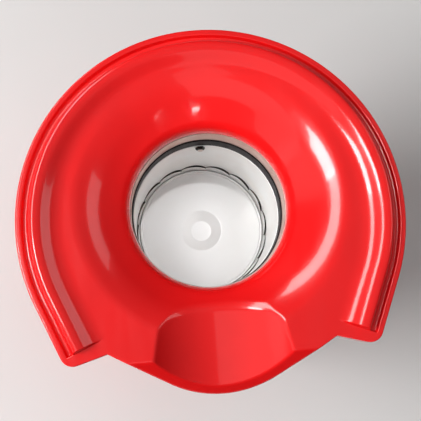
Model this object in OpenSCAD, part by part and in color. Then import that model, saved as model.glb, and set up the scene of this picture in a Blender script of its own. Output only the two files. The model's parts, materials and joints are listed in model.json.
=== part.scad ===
// Hot-air popcorn popper base: a red tray with a bell funnel and a pouring scoop over a popping
// chamber with swirl louvres, and below it the heater, the fan and the motor that feed it hot air.
// Millimetres. +Z is up, the scoop pours towards -Y, and the origin is on the ground under the body.

/* [Rim] */
// Radius of the round part of the horseshoe rim
rim_r = 119; // [117:0.5:121]
// How far the rim's centre lies in front of the body's axis
rim_forward = 6; // [5:0.5:7]
// Taper of the rim's straight sides towards the front, in degrees
side_taper = 22.2; // [20:0.1:24]
// Radius of the rim's two front corners
corner_r = 8; // [6:0.5:10]
// Depth of the tray's outer skirt below the flat
skirt_h = 14; // [12:1:16]
// Height of the rail that carries the hood, above the flat
rail_h = 5.5; // [4.5:0.5:6.5]

/* [Tray] */
// Height of the tray's flat above the ground
flat_z = 214; // [212:1:218]
// Wall thickness of the tray's moulding
tray_t = 2.5; // [2.2:0.1:2.8]
// Radius where the flat starts to turn down into the bell
bell_top_r = 86.4; // [86:0.2:87]
// Radius of the rounded edge where it does so
bell_edge_r = 18; // [16:1:20]
// Slope at the end of that edge, in degrees
bell_edge_slope = 17.5; // [17:0.5:18]
// Radius of the bell's wide upper curve
bell_high_r = 70; // [68:1:72]
// Slope of the cone between the bell's upper and lower curves, in degrees
bell_slope = 31; // [30:0.5:32]
// Depth of the bell, from the flat down to the neck
bell_h = 24; // [23:0.5:25]
// Radius of the neck at the foot of the bell
neck_r = 50; // [49.5:0.5:50.5]
// How far the chamber's axis lies behind the body's axis
axis_back = 4; // [3.5:0.5:4.5]

/* [Pouring scoop and nose] */
// Radius of the scoop's round trough
scoop_r = 71; // [70:0.5:74]
// Slope of the scoop's bottom line, in degrees
scoop_slope = 8.4; // [8:0.1:9]
// Radius of the nose's outline
nose_r = 66; // [64:1:68]
// Half the width between the notches beside the nose
notch_x = 69; // [67:0.5:71]
// Distance of the notches in front of the body's axis
notch_y = 83; // [82:0.5:84]
// Slope of the facet in front of the fold, in degrees
facet_slope = 43; // [40:1:46]

/* [Popping chamber] */
// Inner radius of the chamber's wall
chamber_r = 48.3; // [48:0.1:48.6]
// Depth of the chamber's floor below the neck
chamber_depth = 85; // [82:1:88]
// Radius of the floor disc
floor_r = 46; // [45.5:0.1:46.4]
// Number of swirl louvres round the chamber's foot
louvre_count = 16; // [12:1:18]

/* [Body] */
// Radius of the body at its narrowest
waist_r = 83; // [82:0.5:85]
// Radius of the body's foot
foot_r = 92; // [91:0.5:94]
// Radius of the body's top edge, inside the tray's skirt
shoulder_r = 103; // [102:0.5:104]
// Wall thickness of the body
body_t = 2.5; // [2.2:0.1:3]

/* [Fan] */
// Outer radius of the impeller
impeller_r = 33; // [30:1:35]
// Number of impeller blades
blade_count = 12; // [8:1:16]
// Tilt of the rocker at rest, in degrees; it travels twice this
rocker_tilt = 9; // [7:0.5:10]

/* [Hidden] */

fine = 128;      // segments of the large rounds
medium = 64;     // segments of parts the size of the motor
small = 32;      // segments of screws and pins
far = 400;       // longer than the object, for cutting tools
eps = 0.05;      // how far a cutting tool runs past the face it opens
sink = 0.05;     // how far a part sunk into another sits inside its outline

// Tray: rim section, as inset from the rim's edge
lip_in = 4;            // inner edge of the lip
groove_in = 7.6;       // inner edge of the groove
groove_h = 2.2;        // depth of the groove
rail_in = 27.5;        // where the rail's inner slope reaches the flat
rail_run = 36.5;       // length of the rail along each straight side
notch_rise = 16;       // slope of the edge from a corner up to its notch, in degrees
flank_slope = 30.5;    // slope of the nose's straight flanks, in degrees
fold_y = -89.7;        // where the flat folds down into the front facet
nose_skirt_h = 30;     // depth of the skirt at the nose's tip
scoop_start_y = -58.3; // a point of the scoop's bottom line
scoop_start_h = 9.5;   // and how far below the flat it lies
neck_z = flat_z - bell_h;
// The bell's section: centres (radius, height) of its edge and its upper curve, the foot of that
// curve, and the radius of the lower curve, which the cone between them runs into
bell_edge_c = [bell_top_r, flat_z - bell_edge_r];
bell_high_c = bell_edge_c - (bell_high_r - bell_edge_r) * [-sin(bell_edge_slope), cos(bell_edge_slope)];
cone_top = bell_high_c + bell_high_r * [-sin(bell_slope), cos(bell_slope)];
bell_low_r = (cone_top.y - neck_z - (cone_top.x - neck_r) * tan(bell_slope))
    / (cos(bell_slope) - (1 - sin(bell_slope)) * tan(bell_slope));
bell_low_c = [neck_r + bell_low_r, neck_z];
neck_lip = 1.2;        // thickness of the neck's edge over the collar

// Chamber stack, downwards from the neck
collar_z1 = neck_z - neck_lip;
collar_z0 = neck_z - 14;
ring_z0 = collar_z0 - 11;
flange_t = 1;
floor_z = neck_z - chamber_depth;
sheet_t = 0.8;
shroud_r = 60;
mount_ring_r = 64.5;   // circle of the screws that hang the chamber under the tray
mount_angles = [30, 150, 270];
louvre_h = 6.5;
clip_z = ring_z0 - 2.4; // height of the clip on the chamber's rear wall

// Body
body_z0 = 3;
waist_z = 70;
body_z1 = flat_z - tray_t;
base_z = 5;
base_t = 3;
post_r = 76;           // circle of the base plate's screw posts
post_angles = [45, 135, 225, 315];
foot_ring_r = 77;
foot_angles = [-30, 210, 150, 30]; // front right, front left, rear left, rear right
lug_r = 84;            // circle of the screws between body and tray
lug_z = 190;
vent_count = 11;
vent_step = 5;         // degrees between the vent slots
vent_w = 2.4;
vent_z = 58;
vent_h = 26;

// Fan and motor, on the chamber's axis
plate_z = 54;
plate_t = 2;
plate_r = 68;
can_r = 14;
can_z0 = 16;
shaft_r = 1.15;
fan_z0 = 59;
fan_z1 = 71;
running_gap = 0.05;

// Heater, between the fan and the chamber
mica_z0 = 77;
mica_z1 = 78.2;
coil_r = 43;
coil_wire = 1.5;
coil_turns = 3;
coil_z0 = 82;
coil_pitch = 5;

// Switch on the right side, cord gland at the rear
switch_z = 42;
switch_x = body_r(switch_z) - 0.9;
rocker_x = switch_x - 1.9;
rocker_r = 9.2;
gland_z = 24;
gland_y = body_r(gland_z) - 1.2;
gland_bore_r = 3.6;

plastic_red = [0.83, 0.02, 0.02];
dark_plastic = [0.06, 0.06, 0.07];
aluminium = [0.82, 0.82, 0.80];
steel = [0.62, 0.63, 0.64];
brass = [0.80, 0.62, 0.30];

// ---------- plane geometry of the rim's outline ----------

// Where the line through p along u meets the line through q along v
function meet(p, u, q, v) = p + u * cross(q - p, v) / cross(u, v);
function mirror_x(points) = [for (i = [len(points) - 1 : -1 : 0]) [-points[i].x, points[i].y]];

// The right side's straight edges: a point, the way each runs, and its normal towards the inside
rim_c = [0, -rim_forward];
tangent_p = rim_c + rim_r * [cos(side_taper), -sin(side_taper)];
notch_p = [notch_x, -notch_y];
side_u = [-sin(side_taper), -cos(side_taper)];
side_n = [-cos(side_taper), sin(side_taper)];
rise_u = [-cos(notch_rise), sin(notch_rise)];
rise_n = [sin(notch_rise), cos(notch_rise)];
flank_u = [-cos(flank_slope), -sin(flank_slope)];
flank_n = [-sin(flank_slope), cos(flank_slope)];
nose_y = (nose_r - notch_x * sin(flank_slope)) / cos(flank_slope) - notch_y;
skirt_slope = atan((nose_skirt_h - skirt_h) / (nose_r - nose_y - notch_y));
corner_c = meet(tangent_p + side_n * corner_r, side_u, notch_p + rise_n * corner_r, rise_u);

// Points on an arc round c, from angle a0 to a1
function arc_points(c, r, a0, a1, steps) =
    [for (i = [0 : steps]) let (a = a0 + (a1 - a0) * i / steps) c + r * [cos(a), sin(a)]];

// The right half of the front edge, inset by d, from the rim's arc round the corner and the notch to the nose
function front_points(d) = concat(
    [tangent_p + side_n * d],
    arc_points(corner_c, corner_r - d, -side_taper, -90 - notch_rise, 9),
    [meet(notch_p + rise_n * d, rise_u, notch_p + flank_n * d, flank_u)],
    arc_points([0, nose_y], nose_r - d, flank_slope - 90, -90, 9)
);

// The tray's outline, inset by d
module outline(d) {
    right = front_points(d);
    intersection() {
        translate(rim_c) circle(rim_r - d, $fn = fine);
        translate([-far / 2, right[0].y]) square(far);
    }
    polygon(concat(right, mirror_x([for (i = [0 : len(right) - 2]) right[i]])));
}

// ---------- shared solids ----------

module on_axis() translate([0, axis_back, 0]) children();

module disc(r, z0, z1, segments = fine) translate([0, 0, z0]) cylinder(r = r, h = z1 - z0, $fn = segments);

module tube(r_in, r_out, z0, z1, segments = fine) {
    difference() {
        disc(r_out, z0, z1, segments);
        disc(r_in, z0 - 1, z1 + 1, segments);
    }
}

module around(angles, r) for (a = angles) rotate(a) translate([r, 0, 0]) children();

// A pan-head screw standing on its head at z = 0, thread upwards
module screw(r, length, head_r, head_h) {
    difference() {
        union() {
            disc(r, -eps, length, small);
            disc(head_r, -head_h, 0, small);
        }
        for (a = [0, 90]) rotate(a) translate([-head_r * 0.6, -0.4, -head_h - 1]) cube([head_r * 1.2, 0.8, 2]);
    }
}

// A tube of radius r through the points of a path, as one closed skin
function ring_at(path, i, r, sides) =
    let (
        before = path[max(i - 1, 0)],
        after = path[min(i + 1, len(path) - 1)],
        t = (after - before) / norm(after - before),
        up = abs(t.z) > 0.9 ? [1, 0, 0] : [0, 0, 1],
        s = cross(t, up) / norm(cross(t, up)),
        n = cross(s, t)
    )
    [for (k = [0 : sides - 1]) path[i] + r * (s * cos(360 * k / sides) + n * sin(360 * k / sides))];

module path_tube(path, r, sides = 8) {
    count = len(path);
    points = [for (i = [0 : count - 1]) each ring_at(path, i, r, sides)];
    walls = [for (i = [0 : count - 2], k = [0 : sides - 1])
        let (a = i * sides + k, b = i * sides + (k + 1) % sides)
        [a, a + sides, b + sides, b]];
    start = [for (k = [0 : sides - 1]) k];
    end = [for (k = [sides - 1 : -1 : 0]) (count - 1) * sides + k];
    polyhedron(points, concat(walls, [start, end]), convexity = 6);
}

// A point of the curve that a cubic Bezier with four control points draws
function bezier(p, t) = pow(1 - t, 3) * p[0] + 3 * t * pow(1 - t, 2) * p[1]
    + 3 * t * t * (1 - t) * p[2] + pow(t, 3) * p[3];
function lead(p, steps = 12) = [for (i = [0 : steps]) bezier(p, i / steps)];

// ---------- tray ----------

// Section of the lip, the groove and the rail: x is the inset from the rim's edge, y the height
rim_top = [
    [sink, -1.4], [0.5, -0.4], [1.4, 0], [lip_in - 0.7, 0], [lip_in, -0.5], [lip_in + 0.6, -groove_h],
    [groove_in - 0.4, -groove_h], [groove_in + 0.3, -groove_h + 1], [groove_in + 1.2, rail_h - 2.1],
    [groove_in + 2.8, rail_h - 0.6], [groove_in + 4.8, rail_h], [14.2, rail_h], [16.2, rail_h - 0.4],
    [17.3, rail_h - 1], [21, 1.45], [23, 0.75], [25, 0.27], [rail_in + 1.5, -0.2]
];

module rim_section() {
    under = [for (i = [len(rim_top) - 2 : -1 : 0]) rim_top[i] - [0, tray_t]];
    polygon(concat(rim_top, [[rail_in + 1.5, -1.5]], under));
}

// The same section filled up, which closes the hollow rail's ends
module rim_end_section() polygon(concat(rim_top, [[rail_in + 1.5, -1.5], [sink, -tray_t - 1.4]]));

// Carries a rim section along the rim's two straight sides, from start for a given length
module along_sides(start, length) {
    translate([rim_c.x, rim_c.y, flat_z]) for (side = [0, 1]) mirror([side, 0, 0])
        rotate(-side_taper) rotate([90, 0, 0]) translate([rim_r - sink, 0, start])
            linear_extrude(length) mirror([1, 0]) children();
}

// Carries a rim section round the rim's arc and along both its sides, up to run
module along_rim(run) {
    translate([rim_c.x, rim_c.y, flat_z]) rotate(-side_taper)
        rotate_extrude(angle = 180 + 2 * side_taper, $fn = fine) translate([rim_r, 0]) mirror([1, 0]) children();
    along_sides(-1, run + 1) children();
}

// Points of a curve of the bell's section, from slope a0 to slope a1
function bell_curve(centre, r, a0, a1, steps) =
    [for (i = [0 : steps]) let (a = a0 + (a1 - a0) * i / steps) centre + r * [-sin(a), cos(a)]];

// The bell's section from the flat down to the neck, kept t under its surface
function bell_points(t) = concat(
    bell_curve(bell_edge_c, bell_edge_r - t, 0, bell_edge_slope, 4),
    bell_curve(bell_high_c, bell_high_r - t, bell_edge_slope + 2.7, bell_slope, 4),
    bell_curve(bell_low_c, bell_low_r - t, bell_slope, 90, 10));

// The air inside the funnel, kept t away from the bell's surface
module funnel_air(t) {
    on_axis() rotate_extrude($fn = fine) {
        polygon(concat([[0, neck_z], [0, flat_z + far / 4], [bell_top_r, flat_z + far / 4]],
            bell_points(t)));
        translate([0, neck_z - far / 8]) square([neck_r + t, far / 8 + eps]);
    }
}

// The air over the front facet, kept t away from it
module facet_air(t) {
    translate([0, fold_y, flat_z]) rotate([facet_slope, 0, 0])
        translate([-far / 2, -far / 2, -t]) cube([far, far, far / 2]);
}

// The air in the scoop's trough, kept t away from it
module scoop_air(t) {
    translate([0, scoop_start_y, flat_z - scoop_start_h]) rotate([scoop_slope, 0, 0])
        translate([0, 60, scoop_r]) rotate([90, 0, 0]) cylinder(r = scoop_r + t, h = 150, $fn = fine);
}

// The nose in front of the notches, its lower edge sloping from the side skirt's to the nose skirt's
module nose_blank() {
    difference() {
        translate([0, 0, flat_z - nose_skirt_h]) linear_extrude(nose_skirt_h) intersection() {
            outline(0);
            translate([-notch_x, -notch_y - far]) square([2 * notch_x, far]);
        }
        translate([0, -notch_y, flat_z - skirt_h]) rotate([skirt_slope, 0, 0])
            translate([-far / 2, -far / 2, -far]) cube(far);
    }
}

module tray_blank() {
    translate([0, 0, flat_z - skirt_h]) linear_extrude(skirt_h) outline(0);
    nose_blank();
    on_axis() disc(neck_r + tray_t + 2, collar_z0, flat_z - 1);
}

module tray_hollow() {
    difference() {
        translate([0, 0, flat_z - 70]) linear_extrude(70 - tray_t) outline(tray_t);
        funnel_air(tray_t);
        facet_air(tray_t);
        scoop_air(tray_t);
    }
}

module tray_bosses() {
    on_axis() around(mount_angles, mount_ring_r) disc(4.5, collar_z0, flat_z - 1, small);
    around(post_angles, lug_r) disc(4, lug_z + 3, flat_z - 1, small);
}

module tray_bores() {
    on_axis() around(mount_angles, mount_ring_r) disc(1.55, collar_z0 - 1, collar_z0 + 14, small);
    around(post_angles, lug_r) disc(1.55, lug_z + 2, lug_z + 15, small);
}

module top_shell() {
    color(plastic_red) {
        difference() {
            union() {
                difference() {
                    tray_blank();
                    tray_hollow();
                }
                tray_bosses();
            }
            funnel_air(0);
            facet_air(0);
            scoop_air(0);
            tray_bores();
            along_rim(rail_run) translate([-1, -tray_t - 0.9]) square([rail_in + 0.5, far / 8]);
            on_axis() disc(neck_r + 1.2, collar_z0 - 1, collar_z1);
        }
        along_rim(rail_run + 0.5) rim_section();
        along_sides(rail_run - tray_t, tray_t + 0.5) rim_end_section();
    }
}

// ---------- body ----------

// Outer radius of the body at height z
function body_r(z) = z > waist_z
    ? waist_r + (shoulder_r - waist_r) * pow((z - waist_z) / (body_z1 - waist_z), 3)
    : waist_r + (foot_r - waist_r) * pow((waist_z - z) / (waist_z - body_z0), 2);

module body_outline(inset) {
    steps = 26;
    heights = [for (i = [0 : steps]) body_z0 + (body_z1 - body_z0) * i / steps];
    polygon(concat([[0, body_z0]], [for (z = heights) [body_r(z) - inset, z]], [[0, body_z1]]));
}

// Screw posts for the base plate, lugs for the tray, and the ribs that tie both to the wall
module body_posts() {
    around(post_angles, post_r) disc(5, base_z + base_t, 46, small);
    around(post_angles, lug_r) disc(6, lug_z, lug_z + 3, small);
    intersection() {
        rotate_extrude($fn = fine) body_outline(body_t / 2);
        union() {
            around(post_angles, post_r) translate([0, -1, base_z + base_t]) cube([30, 2, 30]);
            around(post_angles, lug_r) translate([0, -4, lug_z]) cube([30, 8, 3]);
        }
    }
}

// Upright vent slots with round ends, through the rear wall
module body_vents() {
    for (i = [-(vent_count - 1) / 2 : (vent_count - 1) / 2]) rotate(90 + i * vent_step) {
        translate([waist_r - 15, -vent_w / 2, vent_z]) cube([30, vent_w, vent_h]);
        for (z = [vent_z, vent_z + vent_h]) translate([waist_r - 15, 0, z])
            rotate([0, 90, 0]) cylinder(r = vent_w / 2, h = 30, $fn = small);
    }
}

module body_openings() {
    around(post_angles, post_r) disc(1.65, base_z, 40, small);
    around(post_angles, lug_r) disc(2, lug_z - 1, lug_z + 4, small);
    translate([switch_x, -9.2, switch_z - 12.7]) cube([20, 18.4, 25.4]);
    translate([switch_x - 15, -7.7, switch_z - 11.2]) cube([30, 15.4, 22.4]);
    translate([0, gland_y, gland_z]) rotate([-90, 0, 0]) cylinder(r = 9, h = 20, $fn = medium);
    translate([0, gland_y - 15, gland_z]) rotate([-90, 0, 0]) cylinder(r = 6.5, h = 30, $fn = medium);
}

module body_shell() {
    color(plastic_red) difference() {
        union() {
            difference() {
                rotate_extrude($fn = fine) body_outline(0);
                translate([0, 0, -eps]) rotate_extrude($fn = fine) body_outline(body_t);
                disc(foot_r - body_t, body_z0 - 1, body_z0 + eps);
                disc(shoulder_r - body_t - 1, body_z1 - 1, body_z1 + 1);
            }
            body_posts();
        }
        body_openings();
        body_vents();
        facet_air(tray_t + 0.3);
        scoop_air(tray_t + 0.3);
    }
}

// A radial slot with round ends
module slot(r0, r1, width) {
    for (r = [r0, r1]) translate([r, 0]) circle(width / 2, $fn = small);
    translate([r0, -width / 2]) square([r1 - r0, width]);
}

module base_plate() {
    color(dark_plastic) translate([0, 0, base_z]) linear_extrude(base_t) difference() {
        circle(body_r(base_z + base_t) - body_t - 0.3, $fn = fine);
        for (a = [0 : 30 : 330]) rotate(a) slot(16, 32, 4);
        for (a = [0 : 15 : 345]) rotate(a) slot(40, 58, 4);
        around(post_angles, post_r) circle(1.7, $fn = small);
        around(foot_angles, foot_ring_r) circle(4.05, $fn = small);
    }
}

// A rubber foot whose stem is pressed up through the base plate
module foot(angle) {
    color(dark_plastic) rotate(angle) translate([foot_ring_r, 0, 0]) difference() {
        union() {
            disc(9, 1, base_z, medium);
            disc(8, 0, 1 + eps, medium);
            disc(4, base_z - eps, base_z + base_t, small);
            disc(4.8, base_z + base_t, base_z + base_t + 1.5, small);
        }
        disc(2, -1, 3, small);
    }
}

module foot_front_right() foot(foot_angles[0]);
module foot_front_left() foot(foot_angles[1]);
module foot_rear_left() foot(foot_angles[2]);
module foot_rear_right() foot(foot_angles[3]);

module base_screws() {
    color(steel) around(post_angles, post_r) translate([0, 0, base_z]) screw(1.6, 15, 3.2, 2);
}

module housing_screws() {
    color(steel) around(post_angles, lug_r) translate([0, 0, lug_z]) screw(1.5, 14, 3, 2);
}

// ---------- popping chamber ----------

module chamber_collar() {
    color(aluminium) on_axis() tube(neck_r - 0.4, neck_r + 0.4, collar_z0, collar_z1);
}

module insulating_ring() {
    color(dark_plastic) on_axis() difference() {
        disc(mount_ring_r + 4.5, ring_z0, collar_z0);
        disc(chamber_r + 0.5, ring_z0 - 1, collar_z0 + 1);
        around(mount_angles, mount_ring_r) disc(1.6, ring_z0 - 1, collar_z0 + 1, small);
    }
}

// One curved vane from the wall to the floor's edge
module louvre_vane() {
    span = 360 / louvre_count;
    steps = 6;
    outer = [for (i = [0 : steps]) let (f = i / steps, r = chamber_r + 0.1 - 1.9 * f * f)
        [r * cos(span * f), r * sin(span * f)]];
    inner = [for (i = [steps : -1 : 0]) let (f = i / steps, r = chamber_r - 0.4 - 1.8 * f * f)
        [r * cos(span * f), r * sin(span * f)]];
    translate([0, 0, floor_z + 0.4]) linear_extrude(louvre_h) polygon(concat(outer, inner));
}

module chamber_wall() {
    span = 360 / louvre_count;
    color(aluminium) on_axis() {
        difference() {
            union() {
                tube(chamber_r, chamber_r + sheet_t, floor_z - 4, ring_z0);
                tube(chamber_r, mount_ring_r - 5, ring_z0 - flange_t, ring_z0);
            }
            for (i = [0 : louvre_count - 1]) rotate(span * (i + 0.5)) translate([chamber_r - 2, -6, floor_z + 1])
                cube([6, 12, louvre_h - 1.5]);
            rotate(90) translate([chamber_r - 2, 0, clip_z]) rotate([0, 90, 0]) cylinder(r = 1.3, h = 5, $fn = small);
        }
        for (i = [0 : louvre_count - 1]) rotate(span * i) louvre_vane();
    }
}

module chamber_floor() {
    dish_r = 15.2;
    dish_flat_r = 8.4;
    dish_h = 3.4;
    profile = [
        [0, -dish_h], [dish_flat_r, -dish_h], [dish_r, 0], [floor_r - 1.2, 0], [floor_r - 1, 0.7], [floor_r - 0.5, 0.9],
        [floor_r, 0.6], [floor_r, -sheet_t - 3], [floor_r - sheet_t, -sheet_t - 3], [floor_r - sheet_t, -sheet_t],
        [dish_r - 0.3, -sheet_t], [dish_flat_r - 0.3, -dish_h - sheet_t], [0, -dish_h - sheet_t]
    ];
    color(aluminium) on_axis() {
        translate([0, 0, floor_z]) rotate_extrude($fn = fine) polygon(profile);
        tube(floor_r - eps, chamber_r, floor_z - sheet_t - 3, floor_z - 3);
    }
}

// Places its children on the chamber's wall at the rear, +X pointing in towards the axis
module at_clip() on_axis() rotate(90) translate([chamber_r, 0, clip_z]) rotate([0, -90, 0]) children();

module retaining_clip() {
    color(dark_plastic) at_clip() difference() {
        cylinder(r = 3.8, h = 2.2, $fn = 6);
        translate([0, 0, -1]) cylinder(r = 1.3, h = 5, $fn = small);
        translate([0, 0, -1]) cylinder(r = 4.5, h = 1.25, $fn = small);
    }
}

module clip_screw() {
    color(steel) at_clip() {
        translate([0, 0, -1]) cylinder(r = 1.25, h = 3.2 + eps, $fn = small);
        translate([0, 0, 2.2]) cylinder(r1 = 2, r2 = 1.4, h = 0.7, $fn = small);
    }
}

module chamber_screws() {
    color(steel) on_axis() around(mount_angles, mount_ring_r)
        translate([0, 0, ring_z0 - sheet_t - flange_t]) screw(1.5, 20, 3, 2);
}

module heat_shroud() {
    top = ring_z0 - flange_t;
    color(steel) on_axis() difference() {
        union() {
            tube(shroud_r, shroud_r + sheet_t, plate_z + plate_t, top);
            tube(chamber_r + sheet_t + 0.3, mount_ring_r + 4.5, top - sheet_t, top);
            tube(shroud_r, plate_r, plate_z + plate_t, plate_z + plate_t + sheet_t);
        }
        around(mount_angles, mount_ring_r) disc(1.6, top - 3, top + 1, small);
        around(mount_angles, mount_ring_r) disc(1.6, plate_z, plate_z + 6, small);
    }
}

module shroud_screws() {
    color(steel) on_axis() around(mount_angles, mount_ring_r) translate([0, 0, plate_z]) screw(1.5, 6, 2.8, 1.6);
}

// ---------- heater ----------

// A mica disc with upright fins that carry the coil, and three tabs to the shroud
module heater_frame() {
    disc_r = coil_r - 2;
    fin_in = 12;
    color([0.72, 0.68, 0.58]) on_axis() {
        difference() {
            disc(disc_r, mica_z0, mica_z1);
            disc(8, mica_z0 - 1, mica_z1 + 1, medium);
            around([0 : 60 : 300], 24) disc(4.5, mica_z0 - 1, mica_z1 + 1, small);
        }
        for (a = [0 : 60 : 300]) rotate(a + 10) translate([fin_in, -0.5, mica_z1 - eps])
            cube([coil_r - coil_wire - 0.1 - fin_in, 1, 20]);
        for (a = mount_angles) rotate(a) {
            translate([disc_r - 2, -4, mica_z0]) cube([shroud_r - 0.2 - disc_r + 2, 8, mica_z1 - mica_z0]);
            translate([shroud_r - 1.4, -4, mica_z1 - eps]) cube([1.2, 8, 8]);
        }
    }
}

module heater_coil() {
    steps = 26;
    path = [for (i = [0 : steps * coil_turns])
        [coil_r * cos(360 * i / steps), coil_r * sin(360 * i / steps), coil_z0 + coil_pitch * i / steps]];
    color([0.45, 0.42, 0.40]) on_axis() path_tube(path, coil_wire, 6);
}

// Places its children on the shroud's outside, +X pointing out
module at_thermostat() on_axis() rotate(200) translate([shroud_r + sheet_t, 0, 124]) rotate([0, 90, 0]) children();

module thermostat() {
    color(brass) at_thermostat() {
        cylinder(r = 8, h = 1, $fn = medium);
        translate([-12, -3, 0]) cube([24, 6, 0.8]);
        translate([0, 0, 1 - eps]) cylinder(r = 7, h = 7, $fn = medium);
        for (side = [-1, 1]) translate([-2, side * 4 - 0.4, 8 - eps]) cube([4, 0.8, 5]);
    }
}

module thermal_fuse() {
    color([0.85, 0.84, 0.80]) on_axis() rotate(30) translate([24, 0, mica_z1 + 1.8]) rotate([-90, 0, 0]) {
        cylinder(r = 1.8, h = 8, center = true, $fn = small);
        cylinder(r = 0.5, h = 14, center = true, $fn = small);
    }
}

// ---------- fan and motor ----------

module motor_plate() {
    color(steel) on_axis() translate([0, 0, plate_z]) linear_extrude(plate_t) difference() {
        circle(plate_r, $fn = fine);
        circle(4.2, $fn = small);
        around([0, 180], 9) circle(1.6, $fn = small);
        around([30 : 60 : 330], 23) circle(7.5, $fn = medium);
        around(mount_angles, mount_ring_r) circle(1.6, $fn = small);
    }
}

module motor_can() {
    color(steel) on_axis() difference() {
        union() {
            disc(can_r, can_z0, plate_z, medium);
            disc(4.15, plate_z - eps, plate_z + plate_t, small);
        }
        disc(can_r - 1, can_z0 - 1, plate_z - 1.2, medium);
        disc(3, plate_z - 3, plate_z + plate_t + 1, small);
        around([0, 180], 9) disc(1.3, plate_z - 3, plate_z + 1, small);
    }
}

module motor_magnets() {
    color([0.18, 0.18, 0.19]) on_axis() intersection() {
        tube(10.4, can_r - 1.02, can_z0 + 5, plate_z - 8, medium);
        for (a = [0, 180]) rotate(a - 60) rotate_extrude(angle = 120, $fn = medium) square([can_r, 100]);
    }
}

module motor_end_cap() {
    color(dark_plastic) on_axis() difference() {
        union() {
            disc(can_r, can_z0 - 2, can_z0, medium);
            disc(can_r - 1.1, can_z0 - eps, can_z0 + 2, medium);
        }
        disc(3, can_z0 - 3, can_z0 + 3, small);
    }
}

module bush(z0, z1) {
    color(brass) on_axis() tube(shaft_r + running_gap, 2.98, z0, z1, small);
}

module upper_bush() bush(plate_z - 1.2, plate_z + plate_t);
module lower_bush() bush(can_z0 - 2, can_z0 + 2);

module motor_screws() {
    color(steel) on_axis() around([0, 180], 9) translate([0, 0, plate_z + plate_t]) mirror([0, 0, 1])
        screw(1.25, 3, 2.4, 1.4);
}

module motor_shaft() {
    color(steel) on_axis() disc(shaft_r, can_z0 - 1.6, fan_z1 + 1, small);
}

module armature() {
    color([0.42, 0.30, 0.22]) on_axis() difference() {
        union() {
            for (a = [0 : 72 : 288]) rotate(a) {
                translate([0, -1.6, can_z0 + 9]) cube([8.4, 3.2, 18]);
                rotate(-28) translate([0, 0, can_z0 + 9]) rotate_extrude(angle = 56, $fn = medium)
                    translate([8, 0]) square([1.8, 18]);
            }
            disc(3.4, can_z0 + 3, plate_z - 5, small);
        }
        disc(shaft_r, 0, 100, small);
    }
}

// Backward-curved blades under a disc, with a hub pressed on the shaft
module impeller() {
    blade_in = 13;
    color([0.86, 0.85, 0.80]) on_axis() difference() {
        union() {
            disc(impeller_r, fan_z1 - 1.6, fan_z1, medium);
            disc(5, fan_z0, fan_z1 + 0.5, small);
            tube(impeller_r - 6, impeller_r, fan_z0, fan_z0 + 1.2, medium);
            for (i = [0 : blade_count - 1]) rotate(360 * i / blade_count) translate([blade_in, 0, fan_z0])
                rotate(-25) translate([0, -0.7, 0]) cube([impeller_r - blade_in - 2, 1.4, fan_z1 - fan_z0 - 1]);
        }
        disc(shaft_r, 0, 100, small);
    }
}

module rectifier_board() {
    top = can_z0 - 3.5;
    color([0.10, 0.35, 0.16]) on_axis() {
        difference() {
            disc(13, top - 1.6, top, medium);
            disc(2, top - 3, top + 1, small);
        }
        for (side = [-1, 1]) translate([side * 6 - 1, 5, top - eps]) cube([2, 2, 1.5 + eps]);
    }
    color(dark_plastic) on_axis() for (x = [-7, -2.5, 2.5, 7])
        translate([x, -8, top - 1.6 - 1.3]) rotate([-90, 0, 0]) cylinder(r = 1.3, h = 5, $fn = small);
}

// Leads from the gland to the switch, and on to the thermostat and the rectifier board
module wiring() {
    wire_r = 1.1;
    blade_x = switch_x - 24.9;
    live = [[2, gland_y - 22, gland_z], [4, 40, 18], [30, 20, 51], [blade_x, 0, switch_z + 5]];
    neutral = [[-2, gland_y - 22, gland_z], [-10, 52, 26], [-30, 44, 12], [-14.6, 8, 12.4]];
    loop_r = 74;
    climb = [for (a = [-24 : -10 : -154]) [loop_r * cos(a), loop_r * sin(a), 50 - 0.55 * (a + 24)]];
    start = lead([[blade_x, 0, switch_z - 5], [blade_x - 8, -2, switch_z - 6], [60, -14, 47], climb[0]], 6);
    switched = concat([for (i = [0 : 5]) start[i]], climb);
    color([0.85, 0.85, 0.82]) {
        path_tube(lead(live), wire_r);
        path_tube(lead(neutral), wire_r);
    }
    color([0.5, 0.1, 0.1]) path_tube(switched, wire_r);
}

// ---------- cord gland and switch ----------

module cord_gland() {
    color(dark_plastic) translate([0, gland_y, gland_z]) rotate([-90, 0, 0]) difference() {
        union() {
            cylinder(r = 8.6, h = 2.4, $fn = medium);
            translate([0, 0, -14]) cylinder(r = 6.4, h = 14 + eps, $fn = medium);
            translate([0, 0, -11]) cylinder(r = 8.6, h = 4, $fn = 6);
        }
        translate([0, 0, -15]) cylinder(r = gland_bore_r, h = 20, $fn = small);
    }
}

module at_switch() translate([rocker_x, 0, switch_z]) children();

module switch_bezel() {
    front = switch_x - rocker_x;
    color(dark_plastic) at_switch() difference() {
        union() {
            translate([front, -9, -12.5]) cube([2.2, 18, 25]);
            translate([front - 17, -7.5, -11]) cube([17 + eps, 15, 22]);
        }
        translate([front - 15.5, -6.2, -9.5]) cube([20, 12.4, 19]);
        rotate([90, 0, 0]) cylinder(r = 1.25, h = 30, center = true, $fn = small);
    }
}

module switch_terminals() {
    color(brass) at_switch() for (z = [-5, 5])
        translate([switch_x - rocker_x - 24, -2.4, z - 0.4]) cube([7, 4.8, 0.8]);
}

// The rocker turns about its pin; both its ends are arcs round that pin
module switch_rocker() {
    face = [[-3, -rocker_r], [5.2, -rocker_r], [4, 0], [5.2, rocker_r], [-3, rocker_r]];
    color([0.75, 0.03, 0.03]) at_switch() rotate([0, rocker_tilt, 0]) {
        rotate([90, 0, 0]) linear_extrude(12, center = true) intersection() {
            circle(rocker_r, $fn = medium);
            polygon(face);
        }
        rotate([90, 0, 0]) cylinder(r = 1.2, h = 14.6, center = true, $fn = small);
    }
}

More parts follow.
